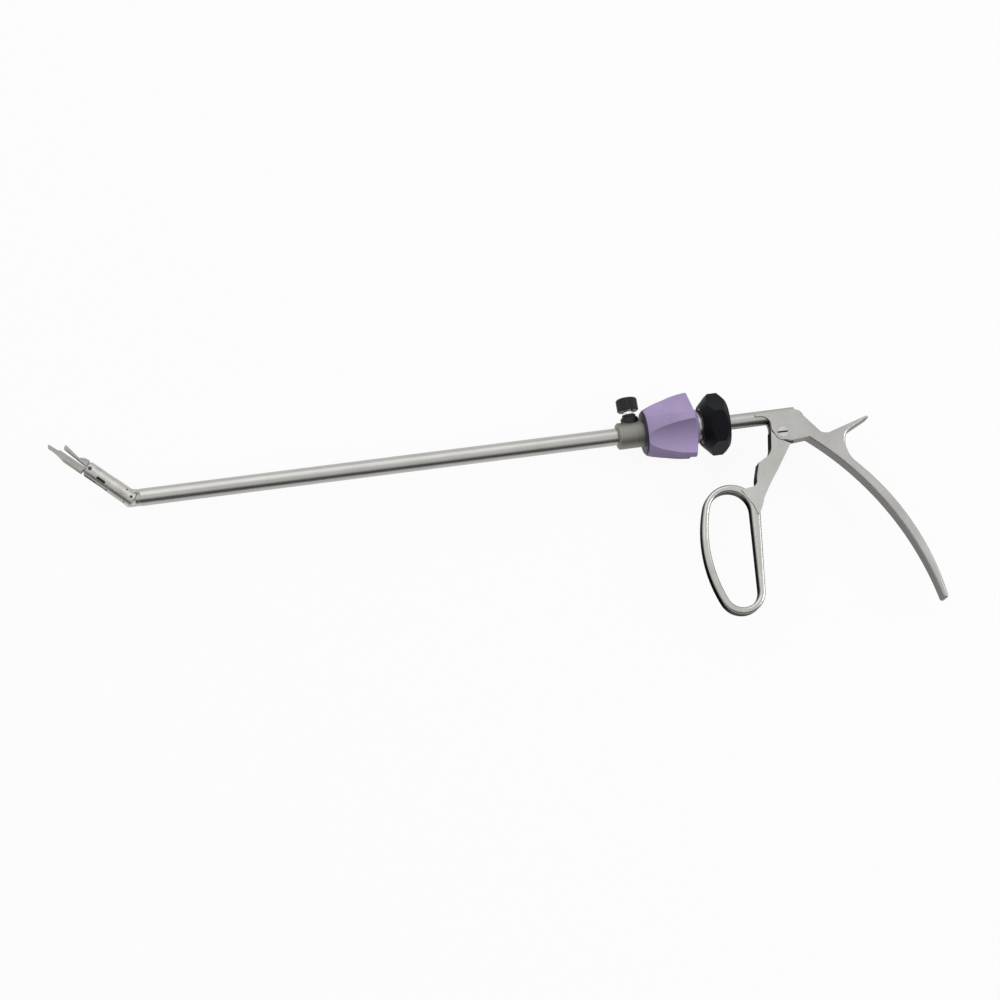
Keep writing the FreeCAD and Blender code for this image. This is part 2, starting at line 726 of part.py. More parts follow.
def head_point(along, across):
    """Row-frame place of a point of the head at rest, from its straight coordinates."""
    bend = math.radians(SIZES["head_bend"])
    x = ELBOW - along * math.cos(bend) + across * math.sin(bend)
    y = along * math.sin(bend) + across * math.cos(bend)
    return x, y


def tilt_link():
    """Flat link between the pull tube's finger and the head."""
    body = new_body("tilt_link")
    far_x, far_y = head_point(S.head_link_along, S.head_link_across)
    near_x, near_y = -PULL_PIN, S.pull_pin_height
    slope = math.atan2(far_y.value - near_y.value, far_x.value - near_x.value)
    across_x = -math.sin(slope) * S.link_half_height
    across_y = math.cos(slope) * S.link_half_height
    bar = new_sketch(body)
    outline(bar, [(near_x + across_x, near_y + across_y), (far_x + across_x, far_y + across_y),
                  (far_x - across_x, far_y - across_y), (near_x - across_x, near_y - across_y)])
    extrude(body, "Pad", bar, S.link_thickness)
    eye = new_sketch(body)
    circle(eye, far_x, far_y, S.link_eye_radius)
    extrude(body, "Pad", eye, S.link_thickness)
    near_eye = new_sketch(body)
    circle(near_eye, near_x, near_y, S.link_half_height)
    extrude(body, "Pad", near_eye, S.link_thickness)
    far_hole = new_sketch(body)
    circle(far_hole, far_x, far_y, S.link_pin_radius + S.link_play)
    extrude(body, "Pocket", far_hole, 10)
    near_hole = new_sketch(body)
    circle(near_hole, near_x, near_y, S.link_pin_radius + S.running_gap / 2)
    extrude(body, "Pocket", near_hole, 10)


def pin(label, x, y, radius, from_z, to_z):
    body = new_body(label)
    sketch = new_sketch(body, shift=(0, 0, from_z))
    circle(sketch, x, y, radius)
    extrude(body, "Pad", sketch, to_z - from_z, middle=False)
    return body


def pull_pin():
    pin("pull_pin", -PULL_PIN, S.pull_pin_height, S.link_pin_radius, -1.8, as_size(1.8))


# Drive

def drive_rod():
    neck_end = ARM_BALL - S.rod_neck_length
    foot = ARM_BALL - S.ball_radius * 0.8
    body = turned("drive_rod", [
        (foot, 0), (foot, S.rod_neck_radius), (neck_end, S.rod_neck_radius), (neck_end - 0.5, S.rod_radius),
        (-ROD_TIP + 0.3, S.rod_radius), (-ROD_TIP, S.rod_radius - 0.3),
        (-ROD_TIP, 0)])
    slot = new_sketch(body)
    half = S.strip_thickness / 2
    rectangle(slot, -ROD_TIP - 1, -half, -ROD_TIP + S.strip_seat, half)
    extrude(body, "Pocket", slot, 10)


def rod_ball():
    """Ball end that the lever's fork moves and the shaft's roll turns."""
    radius = S.ball_radius
    seat = S.rod_neck_radius
    foot = ARM_BALL - radius * 0.8
    seat_x = ARM_BALL - root_of(radius * radius - seat * seat)
    turned("rod_ball", [
        (ARM_BALL + radius, 0), (seat_x, seat, radius, 1), (foot, seat), (foot, 0)])


def drive_strip():
    """Spring strip that carries the push round the elbow."""
    body = new_body("drive_strip")
    path = new_sketch(body)
    half = S.strip_thickness / 2
    bend = math.radians(SIZES["head_bend"])
    lead = 5.6
    start = ELBOW + lead
    radius = lead / math.tan(bend / 2)
    end_x, end_y = head_point(as_size(lead), as_size(0))
    nx, ny = math.sin(bend), math.cos(bend)
    tip_x, tip_y = head_point(S.strip_end, as_size(0))
    outline(path, [
        (start, half), (end_x + half * nx, end_y + half * ny, radius - half, -1),
        (tip_x + half * nx, tip_y + half * ny), (tip_x - half * nx, tip_y - half * ny),
        (end_x - half * nx, end_y - half * ny), (start, -half, radius + half, 1),
        (-ROD_TIP + S.strip_seat, -half), (-ROD_TIP + S.strip_seat, half)])
    extrude(body, "Pad", path, S.strip_width)


# Head, drawn straight with the elbow's axis at the origin and the jaws towards -X

def head_yoke():
    """Sleeve with two lugs on the elbow's pins and two arms that carry the jaws."""
    radius = S.head_radius
    body = turned("head_yoke", [
        (S.lug_end, 0), (S.lug_end, radius), (-S.yoke_length + 1.2, radius),
        (-S.yoke_length, radius - 1.2), (-S.yoke_length, 0)])
    cavity = new_sketch(body)
    circle(cavity, 0, 0, S.head_radius + S.free_gap)
    extrude(body, "Pocket", cavity, 2 * S.yoke_slot_half)
    mouth = new_sketch(body)
    rectangle(mouth, 0, -S.head_radius - 1, S.lug_end + 1, S.head_radius + 1)
    extrude(body, "Pocket", mouth, 2 * S.yoke_slot_half)
    jaw_slot = new_sketch(body)
    rectangle(jaw_slot, -S.yoke_length - 1, -S.head_radius - 1, -S.sleeve_length, S.head_radius + 1)
    extrude(body, "Pocket", jaw_slot, 2 * S.yoke_slot_half)
    bore = new_sketch(body, "YZ_Plane", shift=(0, 0, -S.sleeve_length - 1))
    circle(bore, 0, 0, S.pusher_radius + S.running_gap)
    extrude(body, "Pocket", bore, S.sleeve_length, middle=False, back=True)
    link_way = new_sketch(body)
    rectangle(link_way, -S.head_link_along - 2.2, 0, 3, S.head_radius + 1)
    extrude(body, "Pocket", link_way, S.link_thickness + 2 * S.free_gap)
    window = new_sketch(body)
    half = S.window_width / 2
    left, right = -S.window_start - S.window_length + half, -S.window_start - half
    outline(window, [(right, -S.window_drop - half), (right, -S.window_drop + half, half * 1.0001, 1),
                     (left, -S.window_drop + half), (left, -S.window_drop - half, half * 1.0001, 1)])
    extrude(body, "Pocket", window, 12)
    pins = new_sketch(body)
    circle(pins, 0, 0, S.elbow_pin_radius)
    circle(pins, -JAW_PIN, 0, S.jaw_pin_radius)
    circle(pins, -S.head_link_along, S.head_link_across, S.link_pin_radius)
    extrude(body, "Pocket", pins, 12)
    place_in_head(body)


def head_pins():
    near = pin("elbow_pin_near", 0, 0, S.elbow_pin_radius, S.tongue_gap + 0.1, S.head_radius - 0.1)
    place_in_head(near)
    far = new_body("elbow_pin_far")
    sketch = new_sketch(far, shift=(0, 0, -S.tongue_gap - 0.1))
    circle(sketch, 0, 0, S.elbow_pin_radius)
    extrude(far, "Pad", sketch, S.head_radius - S.tongue_gap - 0.2, middle=False, back=True)
    place_in_head(far)
    jaw = pin("jaw_pin", -JAW_PIN, 0, S.jaw_pin_radius, -S.head_radius + 0.1, S.head_radius - 0.1)
    place_in_head(jaw)
    link = pin("link_pin", -S.head_link_along, S.head_link_across, S.link_pin_radius,
               -S.link_pin_half, S.link_pin_half)
    place_in_head(link)


def jaw_tail(body, side):
    """Flat tail on one side of the pusher, with the slanted slot that the drive pin works in."""
    lower = side > 0
    start = S.tail_inner if lower else -S.tail_outer
    tail = new_sketch(body, shift=(0, 0, start))
    half = S.tail_half_height
    boss = half + 0.5
    own = -1 if lower else 1
    outline(tail, [
        (-S.tail_end, -half * own), (-JAW_PIN, -boss * own), (-JAW_ROOT + 0.6, (0.4 - boss) * own),
        (-JAW_ROOT + 0.6, 0.65 * own), (-JAW_ROOT - 0.6, 0.65 * own),
        (-JAW_ROOT - 0.6, (boss - 0.4) * own),
        (-JAW_PIN, boss * own), (-S.tail_end, half * own)])
    extrude(body, "Pad", tail, S.tail_outer - S.tail_inner, middle=False)
    slot = new_sketch(body, shift=(0, 0, start - 1))
    width = S.drive_pin_radius + S.cam_play
    near, far = -S.drive_pin_place + 0.2, -S.drive_pin_place - S.drive_pin_travel - 0.2
    rise = S.cam_rise if lower else -S.cam_rise
    outline(slot, [(near, -width), (near, width, width * 1.0001, 1), (far, rise + width),
                   (far, rise - width, width * 1.0001, 1)])
    extrude(body, "Pocket", slot, S.tail_outer - S.tail_inner + 2, middle=False, back=True)
    hole = new_sketch(body, shift=(0, 0, start - 1))
    circle(hole, -JAW_PIN, 0, S.jaw_pin_radius + S.running_gap / 2)
    extrude(body, "Pocket", hole, S.tail_outer - S.tail_inner + 2, middle=False, back=True)


def trim_round(body, length):
    """Keeps a jaw inside the tube's own diameter."""
    ring = new_sketch(body)
    rectangle(ring, -length - 1, S.head_radius, -JAW_ROOT + 1, S.head_radius + 6)
    turn_about(body, "Groove", ring)


def clip_groove(body, points):
    groove = new_sketch(body)
    outline(groove, points)
    extrude(body, "Pocket", groove, 2 * S.clip_groove_half)


def lower_jaw():
    body = new_body("lower_jaw")
    blade = new_sketch(body)
    tip = -LOWER_TIP
    nose = -JAW_ROOT - S.jaw_nose_place
    outline(blade, [
        (-JAW_ROOT, -0.55), (nose + 0.8, -0.7), (nose, -1.5),
        (tip + 0.4, -1.7), (tip, -2.3), (tip + 0.6, -3.0), (tip + 13.0, -S.head_radius, 30, -1),
        (-JAW_ROOT, -S.head_radius)])
    extrude(body, "Pad", blade, 2 * S.jaw_half_width)
    jaw_tail(body, 1)
    clip_groove(body, [(-JAW_ROOT - 2, 0), (nose, 0), (nose, -1.5),
                       (-JAW_ROOT - 2, -0.6 - S.clip_groove_depth)])
    trim_round(body, LOWER_TIP)
    place_in_head(body)


def upper_jaw():
    body = new_body("upper_jaw")
    blade = new_sketch(body)
    tip = -UPPER_TIP
    outline(blade, [
        (-JAW_ROOT, 0.45), (-JAW_ROOT, 4.0), (-JAW_ROOT - 6.0, 1.9, 8, 1),
        (tip + 0.4, 3.7), (tip, 3.2), (tip + 0.3, 1.8)])
    extrude(body, "Pad", blade, 2 * S.jaw_half_width)
    jaw_tail(body, -1)
    clip_groove(body, [(-JAW_ROOT - 2, 0.3), (-JAW_ROOT - 2, 0.6 + S.clip_groove_depth),
                       (tip + 1.5, 1.7 + S.clip_groove_depth), (tip + 1.5, 0.9)])
    trim_round(body, UPPER_TIP)
    place_in_head(body)


def jaw_pusher():
    body = turned("jaw_pusher", [
        (-S.pusher_start, 0), (-S.pusher_start, S.pusher_radius), (-S.sleeve_length, S.pusher_radius),
        (-S.sleeve_length, 0)])
    blade = new_sketch(body)
    height = S.pusher_blade_height
    rectangle(blade, -S.drive_pin_place - 1.6, -height, -S.sleeve_length + 1, height)
    extrude(body, "Pad", blade, 2 * S.pusher_blade_half)
    hole = new_sketch(body)
    circle(hole, -S.drive_pin_place, 0, S.drive_pin_radius)
    extrude(body, "Pocket", hole, 10)
    place_in_head(body)


def drive_pin():
    body = pin("drive_pin", -S.drive_pin_place, 0, S.drive_pin_radius, -S.tail_outer, S.tail_outer)
    place_in_head(body)


# Handle

def neck_bush():
    turned("neck_bush", ring_points(BAR_BUSH_FRONT, BAR_BUSH_FRONT + S.bush_length,
                                    S.bar_radius, S.tail_bore_radius - S.running_gap / 2))


def retaining_clip():
    """Spring clip in front of the bush, open at one side."""
    body = turned("retaining_clip", ring_points(BAR_BUSH_FRONT - S.clip_thickness, BAR_BUSH_FRONT,
                                                S.bar_radius - S.clip_seat_depth,
                                                S.bar_radius + S.clip_height))
    mouth = new_sketch(body)
    rectangle(mouth, BAR_BUSH_FRONT - 3, -S.tail_radius, BAR_BUSH_FRONT + 3, 0)
    extrude(body, "Pocket", mouth, 3)


def pivot_point(radius, angle):
    """Point at this distance and direction from the lever's pivot."""
    return (S.pivot_place + radius * math.cos(math.radians(angle)),
            -S.pivot_drop + radius * math.sin(math.radians(angle)))


def handle_outline():
    """Plate, rear grip and finger spur, seen from the flat side."""
    return [
        (82.0, 0.2), (84.5, 0.1), (90.5, -5.6, 5.9, -1), (90.4, -8.6), pivot_point(S.boss_radius, 195),
        (*pivot_point(S.boss_radius, 273), S.boss_radius, 1),
        (101.2, -16.3), (109.6, -15.6), (112.4, -16.9, 4.5, -1),
        (173.0843, -119.6825, 181, -1), (176.2425, -119.1838, 1.6, 1), (136.9, -33.6, 152, 1),
        (133.2046, -18.5709, 16, -1), (136.3766, -14.7374, 6, -1), (148.4, -8.9),
        (147.4, -7.5, 0.9, 1), (125.8, -13.9),
        (118.8, -13.3, 7, -1), (110.4, -2.6), (105.2, S.handle_top, 5.6, 1), (82.0, S.handle_top)]


def on_grip(place):
    return place.x > 120 and place.y < -17


def handle_body():
    """Forged handle in one piece: round neck bar, plate with the lever's slot, rear grip and spur."""
    clip_front = BAR_BUSH_FRONT - S.clip_thickness
    body = new_body("handle_body")
    plate = new_sketch(body)
    outline(plate, handle_outline())
    extrude(body, "Pad", plate, 2 * S.handle_half)
    round_rims(body, S.handle_half, S.grip_edge, on_grip)
    bar = new_sketch(body)
    outline(bar, [
        (S.bar_front, 0), (S.bar_end, 0), (S.bar_end, S.bar_radius - 0.5), (S.bar_end - 0.5, S.bar_radius),
        (BAR_BUSH_FRONT, S.bar_radius), (BAR_BUSH_FRONT, S.bar_radius - S.clip_seat_depth),
        (clip_front, S.bar_radius - S.clip_seat_depth), (clip_front, S.bar_radius),
        (S.bar_front, S.bar_radius)])
    turn_about(body, "Revolution", bar)
    slot = new_sketch(body)
    outline(slot, [(S.slot_rear, -30), (S.slot_rear, S.slot_roof), (S.slot_front, S.slot_roof),
                   (S.slot_front, -S.bar_radius - 0.2), (S.slot_front - 10, -S.bar_radius - 0.2),
                   (S.slot_front - 10, -30)])
    extrude(body, "Pocket", slot, 2 * S.slot_half)
    bore = new_sketch(body, "YZ_Plane", shift=(0, 0, S.bar_front - 1))
    circle(bore, 0, 0, S.bar_bore_radius)
    extrude(body, "Pocket", bore, S.slot_front - S.bar_front + 2, middle=False, back=True)
    ball_way = new_sketch(body, "YZ_Plane", shift=(0, 0, S.slot_front - 2))
    circle(ball_way, 0, 0, S.ball_radius + S.running_gap)
    extrude(body, "Pocket", ball_way, 15, middle=False, back=True)
    hole = new_sketch(body)
    circle(hole, S.pivot_place, -S.pivot_drop, S.screw_radius)
    extrude(body, "Pocket", hole, 30)
    head = new_sketch(body, shift=(0, 0, S.handle_half - S.screw_head_height + 0.3))
    circle(head, S.pivot_place, -S.pivot_drop, S.screw_head_radius)
    extrude(body, "Pocket", head, 5, middle=False, back=True)


def pivot_screw():
    body = new_body("pivot_screw")
    shank = new_sketch(body, shift=(0, 0, -S.handle_half))
    circle(shank, S.pivot_place, -S.pivot_drop, S.screw_radius)
    extrude(body, "Pad", shank, 2 * S.handle_half - S.screw_head_height + 0.4, middle=False)
    head = new_sketch(body, shift=(0, 0, S.handle_half - S.screw_head_height + 0.3))
    circle(head, S.pivot_place, -S.pivot_drop, S.screw_head_radius)
    extrude(body, "Pad", head, S.screw_head_height, middle=False)
    slot = new_sketch(body, shift=(0, 0, S.handle_half + 0.3))
    rectangle(slot, S.pivot_place - 5, -S.pivot_drop - S.screw_slot_width / 2,
              S.pivot_place + 5, -S.pivot_drop + S.screw_slot_width / 2)
    extrude(body, "Pocket", slot, S.screw_slot_depth, middle=False)


def lever_outline():
    """Blade of the lever below the handle's plate, seen from the flat side."""
    top = S.boss_radius + S.free_gap
    return [
        (100.0, -18.0), pivot_point(top, 255), (*pivot_point(top, 195), top, -1), (89.8, -9.2),
        (88.2, -19.0), (85.4, -23.8, 8, -1), (79.3, -27.0), (76.9, -34.4), (76.2, -38.4, 20, 1),
        (71.5, -41.0, 4.5, -1), (66.0, -41.8), (72.0, -52.0), (73.6, -58.0), (78.6, -48.6, 30, 1),
        (89.0, -33.6, 120, -1)]


def oval(top, bottom, side_radius):
    """Outline round two circles, each x, y and radius: straight towards the handle, bowed in front."""
    rise_x, rise_y = top[0] - bottom[0], top[1] - bottom[1]
    apart = math.hypot(rise_x, rise_y)
    lean = math.atan2(rise_y, rise_x)
    straight = lean - math.acos((bottom[2] - top[2]) / apart)
    near, far = side_radius - top[2], side_radius - bottom[2]
    bow = math.acos((apart * apart + near * near - far * far) / (2 * apart * near))
    middle_x = top[0] + near * math.cos(lean + math.pi + bow)
    middle_y = top[1] + near * math.sin(lean + math.pi + bow)

    def on_circle(circle_at, angle):
        return circle_at[0] + circle_at[2] * math.cos(angle), circle_at[1] + circle_at[2] * math.sin(angle)

    front_top = math.atan2(top[1] - middle_y, top[0] - middle_x)
    front_bottom = math.atan2(bottom[1] - middle_y, bottom[0] - middle_x)
    return [(*on_circle(bottom, front_bottom), side_radius, 1),
            (*on_circle(bottom, -math.pi / 2), bottom[2], 1), (*on_circle(bottom, straight), bottom[2], 1),
            on_circle(top, straight), (*on_circle(top, math.pi / 2), top[2], 1),
            (*on_circle(top, front_top), top[2], 1)]


def circle_of(place, drop, radius):
    return place.value, -drop.value, radius.value


def trigger_lever():
    """Front lever with its finger loop and the fork that moves the rod's ball."""
    body = new_body("trigger_lever")
    loop = new_sketch(body)
    outline(loop, oval(circle_of(S.loop_top_place, S.loop_top_drop, S.loop_top_radius),
                       circle_of(S.loop_foot_place, S.loop_foot_drop, S.loop_foot_radius), S.loop_bow.value))
    outline(loop, oval(circle_of(S.finger_top_place, S.finger_top_drop, S.finger_top_radius),
                       circle_of(S.finger_foot_place, S.finger_foot_drop, S.finger_foot_radius),
                       S.loop_bow.value))
    extrude(body, "Pad", loop, 2 * S.loop_half)
    round_rims(body, S.loop_half, S.loop_edge, lambda place: True)
    blade = new_sketch(body)
    outline(blade, lever_outline())
    extrude(body, "Pad", blade, 2 * S.blade_half)
    tongue = new_sketch(body)
    circle(tongue, S.pivot_place, -S.pivot_drop, S.tongue_radius)
    extrude(body, "Pad", tongue, 2 * S.tongue_half)
    root = new_sketch(body)
    outline(root, [
        (S.pivot_place + S.tongue_radius, -S.pivot_drop), (S.pivot_place - S.tongue_radius, -S.pivot_drop),
        (S.pivot_place - S.tongue_radius, -S.pivot_drop - S.tongue_foot),
        (S.pivot_place, -S.pivot_drop - S.tongue_foot)])
    extrude(body, "Pad", root, 2 * S.tongue_half)
    arm = new_sketch(body, shift=(S.pivot_place, -S.pivot_drop, 0), turn=-S.lever_lean)
    outline(arm, [(S.arm_half, 0), (S.arm_half, S.arm_top - 1), (S.arm_half - 1, S.arm_top, 1.0001, 1),
                  (-S.arm_half + 1, S.arm_top), (-S.arm_half, S.arm_top - 1, 1.0001, 1), (-S.arm_half, 0)])
    extrude(body, "Pad", arm, 2 * S.tongue_half)
    fork = new_sketch(body, shift=(S.pivot_place, -S.pivot_drop, 0), turn=-S.lever_lean)
    width = S.ball_radius + S.running_gap
    rectangle(fork, -width, S.fork_bottom, width, S.arm_top + 2)
    extrude(body, "Pocket", fork, 12)
    neck_way = new_sketch(body, shift=(S.pivot_place, -S.pivot_drop, 0), turn=-S.lever_lean)
    rectangle(neck_way, -S.arm_half - 1, S.fork_bottom, 0, S.arm_top + 2)
    extrude(body, "Pocket", neck_way, 2 * (S.rod_neck_radius + S.free_gap))
    hole = new_sketch(body)
    circle(hole, S.pivot_place, -S.pivot_drop, S.screw_radius + S.running_gap / 2)
    extrude(body, "Pocket", hole, 12)


def build():
    outer_tube()
    shaft_collar()
    elbow_tongue()
    shaft_tail()
    tail_nut()
    port_base()
    port_stem()
    port_seal()
    port_cap()
    knob_ring()
    rotation_knob()
    knob_screw()
    articulation_wheel()
    wheel_nut()
    pull_tube()
    key_ring()
    rod_seal()
    tilt_link()
    pull_pin()
    drive_rod()
    rod_ball()
    drive_strip()
    head_yoke()
    head_pins()
    lower_jaw()
    upper_jaw()
    jaw_pusher()
    drive_pin()
    neck_bush()
    retaining_clip()
    handle_body()
    pivot_screw()
    trigger_lever()


def check_and_write():
    doc.recompute()
    faults = []
    for item in doc.Objects:
        if "Invalid" in item.State or "Error" in item.State:
            faults.append("%s (%s)" % (item.Label, item.TypeId))
    for piece in PIECES:
        try:
            if piece.Shape.isNull() or not piece.Shape.isValid():
                faults.append(piece.Label + ": bad shape")
        except RuntimeError:
            faults.append(piece.Label + ": no shape")
    if faults:
        raise RuntimeError("; ".join(faults))
    os.makedirs("parts", exist_ok=True)
    for piece in PIECES:
        box = piece.Shape.BoundBox
        print("%-20s solids %d volume %9.2f  x %.1f..%.1f y %.1f..%.1f z %.1f..%.1f" % (
            piece.Label, len(piece.Shape.Solids), piece.Shape.Volume,
            box.XMin, box.XMax, box.YMin, box.YMax, box.ZMin, box.ZMax))
        piece.Shape.exportStep("parts/%s.step" % piece.Label)


build()
check_and_write()
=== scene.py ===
import math

import bpy
from mathutils import Matrix, Vector

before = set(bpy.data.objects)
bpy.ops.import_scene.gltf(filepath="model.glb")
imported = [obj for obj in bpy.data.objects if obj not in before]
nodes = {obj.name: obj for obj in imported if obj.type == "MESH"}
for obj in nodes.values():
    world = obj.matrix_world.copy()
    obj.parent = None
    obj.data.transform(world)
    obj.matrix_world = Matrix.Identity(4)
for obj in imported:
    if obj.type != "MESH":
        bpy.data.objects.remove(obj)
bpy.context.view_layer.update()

# Satin steel shaft
# The 10 mm tube and what slides in it are drawn stainless steel, with fine lines along them. The
# pieces at its handle end are turned, with fine lines round them, and the collar is the dullest.


class Number:
    """A socket's value, which can be used in arithmetic like a plain number."""

    def __init__(self, finish, socket):
        self.finish = finish
        self.socket = socket

    def math(self, operation, *values, clamp=False):
        node = self.finish.tree.nodes.new("ShaderNodeMath")
        node.operation = operation
        node.use_clamp = clamp
        for slot, value in zip(node.inputs, values):
            self.finish.put(slot, value)
        return Number(self.finish, node.outputs[0])

    def __add__(self, other):
        return self.math("ADD", self, other)

    __radd__ = __add__

    def __sub__(self, other):
        return self.math("SUBTRACT", self, other)

    def __rsub__(self, other):
        return self.math("SUBTRACT", other, self)

    def __mul__(self, other):
        return self.math("MULTIPLY", self, other)

    __rmul__ = __mul__

    def __abs__(self):
        return self.math("ABSOLUTE", self)

    def between(self, low, high):
        """0 at low, 1 at high and a straight rise between them."""
        return self.math("DIVIDE", self - low, high - low, clamp=True)

    def about(self, middle, spread):
        """0 to 1 drawn together to a range that is spread wide, round middle."""
        return self * spread + (middle - spread / 2)


class Finish:
    """A node material under construction."""

    def __init__(self, name, owner=None):
        self.owner = owner or bpy.data.materials.new(name)
        self.owner.use_nodes = True
        self.tree = self.owner.node_tree
        self.tree.nodes.clear()

    def put(self, socket, value):
        if isinstance(value, Number):
            value = value.socket
        if isinstance(value, bpy.types.NodeSocket):
            self.tree.links.new(value, socket)
        else:
            socket.default_value = value

    def node(self, kind, settings=None, inputs=None):
        node = self.tree.nodes.new("ShaderNode" + kind)
        for name, value in (settings or {}).items():
            setattr(node, name, value)
        for name, value in (inputs or {}).items():
            self.put(node.inputs[name], value)
        return node

    def place(self):
        """The spot on the piece, in metres."""
        return self.node("TexCoord").outputs["Object"]

    def facing(self):
        """The surface's own direction, in the piece's frame."""
        return self.node("TexCoord").outputs["Normal"]

    def axes(self, vector):
        parts = self.node("SeparateXYZ", inputs={"Vector": vector})
        return [Number(self, part) for part in parts.outputs]

    def noise(self, scale, detail=3.0, rough=0.6, stretch=(1, 1, 1)):
        """Cloudy noise. A stretch of less than 1 draws it out along that axis."""
        mapped = self.node("Mapping", inputs={"Vector": self.place(), "Scale": stretch})
        noise = self.node("TexNoise", inputs={"Vector": mapped.outputs[0], "Scale": scale,
                                              "Detail": detail, "Roughness": rough})
        return Number(self, noise.outputs["Fac"])

    def blend(self, first, second, factor):
        mix = self.node("Mix", {"data_type": "RGBA"})
        self.put(mix.inputs[0], factor)
        for socket, colour in ((mix.inputs[6], first), (mix.inputs[7], second)):
            self.put(socket, colour if isinstance(colour, bpy.types.NodeSocket) else (*colour, 1))
        return mix.outputs[2]

    def mottle(self, dark, light, fine, coarse, fine_share, low=0.35, high=0.65):
        """A colour that wanders from dark to light with a fine and a coarse noise."""
        tone = fine * fine_share + coarse * (1 - fine_share)
        return self.blend(dark, light, tone.between(low, high))

    def bump(self, height, depth, strength):
        return self.node("Bump", inputs={"Height": height, "Distance": depth,
                                         "Strength": strength}).outputs[0]

    def surface(self, **inputs):
        shader = self.node("BsdfPrincipled")
        for name, value in inputs.items():
            self.put(shader.inputs[name.replace("_", " ")], value)
        self.node("OutputMaterial", inputs={"Surface": shader.outputs[0]})
        return self.owner


def dress(material, *names):
    """Gives CAD nodes this material."""
    for name in names:
        mesh = nodes[name].data
        mesh.materials.clear()
        mesh.materials.append(material)


def lined_steel(name, light, dark, lines, rough):
    """Satin steel with long fine lines. lines stretches the noise along them."""
    finish = Finish(name)
    grain = finish.noise(900, detail=2.0, stretch=lines)
    cloud = finish.noise(35)
    return finish.surface(
        Base_Color=finish.mottle(dark, light, grain, cloud, fine_share=0.6, low=0.32, high=0.66),
        Metallic=1.0,
        Roughness=grain.about(rough, spread=0.12),
        Normal=finish.bump(grain, depth=0.00002, strength=0.35))


DRAWN = (0.012, 1, 1)
TURNED = (1, 0.02, 0.02)
tube_steel = lined_steel("tube_steel", (0.50, 0.49, 0.47), (0.41, 0.40, 0.38), DRAWN, rough=0.33)
dress(tube_steel, "outer_tube", "pull_tube", "drive_rod")
collar_steel = lined_steel("collar_steel", (0.29, 0.285, 0.255), (0.235, 0.23, 0.205), TURNED,
                           rough=0.55)
dress(collar_steel, "shaft_collar")
turned_steel = lined_steel("turned_steel", (0.56, 0.55, 0.53), (0.46, 0.45, 0.43), TURNED,
                           rough=0.3)
dress(turned_steel, "shaft_tail", "tail_nut")

# Elbow, head and jaws
# The yoke and the tongue are milled from stainless steel and blasted to a fine pearly satin. The
# pins of elbow, link and jaws and most parts inside are near-black as painted shade inside the
# head, and so are the jaws' roots.


def blasted_steel(name, light, dark, rough):
    finish = Finish(name)
    pearl = finish.noise(2600, detail=2.0, rough=0.7)
    cloud = finish.noise(160)
    return finish.surface(
        Base_Color=finish.mottle(dark, light, pearl, cloud, fine_share=0.5),
        Metallic=1.0,
        Roughness=cloud.about(rough, spread=0.1),
        Normal=finish.bump(pearl, depth=0.00004, strength=0.4))


head_steel = blasted_steel("head_steel", (0.58, 0.57, 0.54), (0.38, 0.37, 0.345), rough=0.36)
dress(head_steel, "head_yoke", "elbow_tongue")
pin_steel = blasted_steel("pin_steel", (0.60, 0.60, 0.59), (0.42, 0.42, 0.41), rough=0.28)
dress(pin_steel, "pull_pin", "drive_pin", "rod_ball")
# Near-black steel as painted shade for the pins and the parts inside the head; the clip on the neck
# bar uses it too.
dark_and_shade_steel = blasted_steel("dark_and_shade_steel", (0.09, 0.09, 0.09), (0.04, 0.04, 0.04), rough=0.4)
dress(dark_and_shade_steel, "elbow_pin_near", "elbow_pin_far", "jaw_pin", "link_pin", "jaw_pusher",
      "tilt_link", "drive_strip")

# The elbow's place on the shaft, the bent head's direction and how far its yoke reaches.
ELBOW = -0.283
HEAD_ALONG, HEAD_ACROSS = -0.731354, 0.681998
YOKE_REACH = 0.031
SHADE_FADE = 0.001
# Near-black painted shade for recesses: the jaws' roots inside the yoke and the screw's slot.
RECESS_SHADE = (0.03, 0.03, 0.03)
jaw_finish = Finish("jaw_steel")
pearl = jaw_finish.noise(2600, detail=2.0, rough=0.7)
cloud = jaw_finish.noise(160)
along, across = jaw_finish.axes(jaw_finish.place())[:2]
reach = (along - ELBOW) * HEAD_ALONG + across * HEAD_ACROSS
blade = jaw_finish.mottle((0.22, 0.215, 0.20), (0.40, 0.395, 0.37), pearl, cloud, fine_share=0.6)
# Painted shade on the jaws' roots inside the yoke, fading out over the last millimetre.
clear_of_yoke_shade = reach.between(YOKE_REACH - SHADE_FADE, YOKE_REACH)
jaw_steel = jaw_finish.surface(
    Base_Color=jaw_finish.blend(RECESS_SHADE, blade, clear_of_yoke_shade),
    Metallic=1.0,
    Roughness=cloud.about(0.39, spread=0.1),
    Normal=jaw_finish.bump(pearl, depth=0.00004, strength=0.4))
dress(jaw_steel, "lower_jaw", "upper_jaw")

# Flush port
# A black moulded base is screwed into the collar. A polished tube stands in it and carries the
# ribbed black cap with its soft washer. The rod's seal is of the same rubber.


def moulded(name, light, dark, rough, grain=0.00002, shine=0.35):
    """Plain plastic. grain is how deep its skin is, and shine how strongly it reflects."""
    finish = Finish(name)
    speck = finish.noise(3200, detail=2.0)
    cloud = finish.noise(70)
    return finish.surface(
        Base_Color=finish.mottle(dark, light, speck, cloud, fine_share=0.4),
        Roughness=cloud.about(rough, spread=0.12),
        Specular_IOR_Level=shine,
        Normal=finish.bump(speck, depth=grain, strength=0.5))


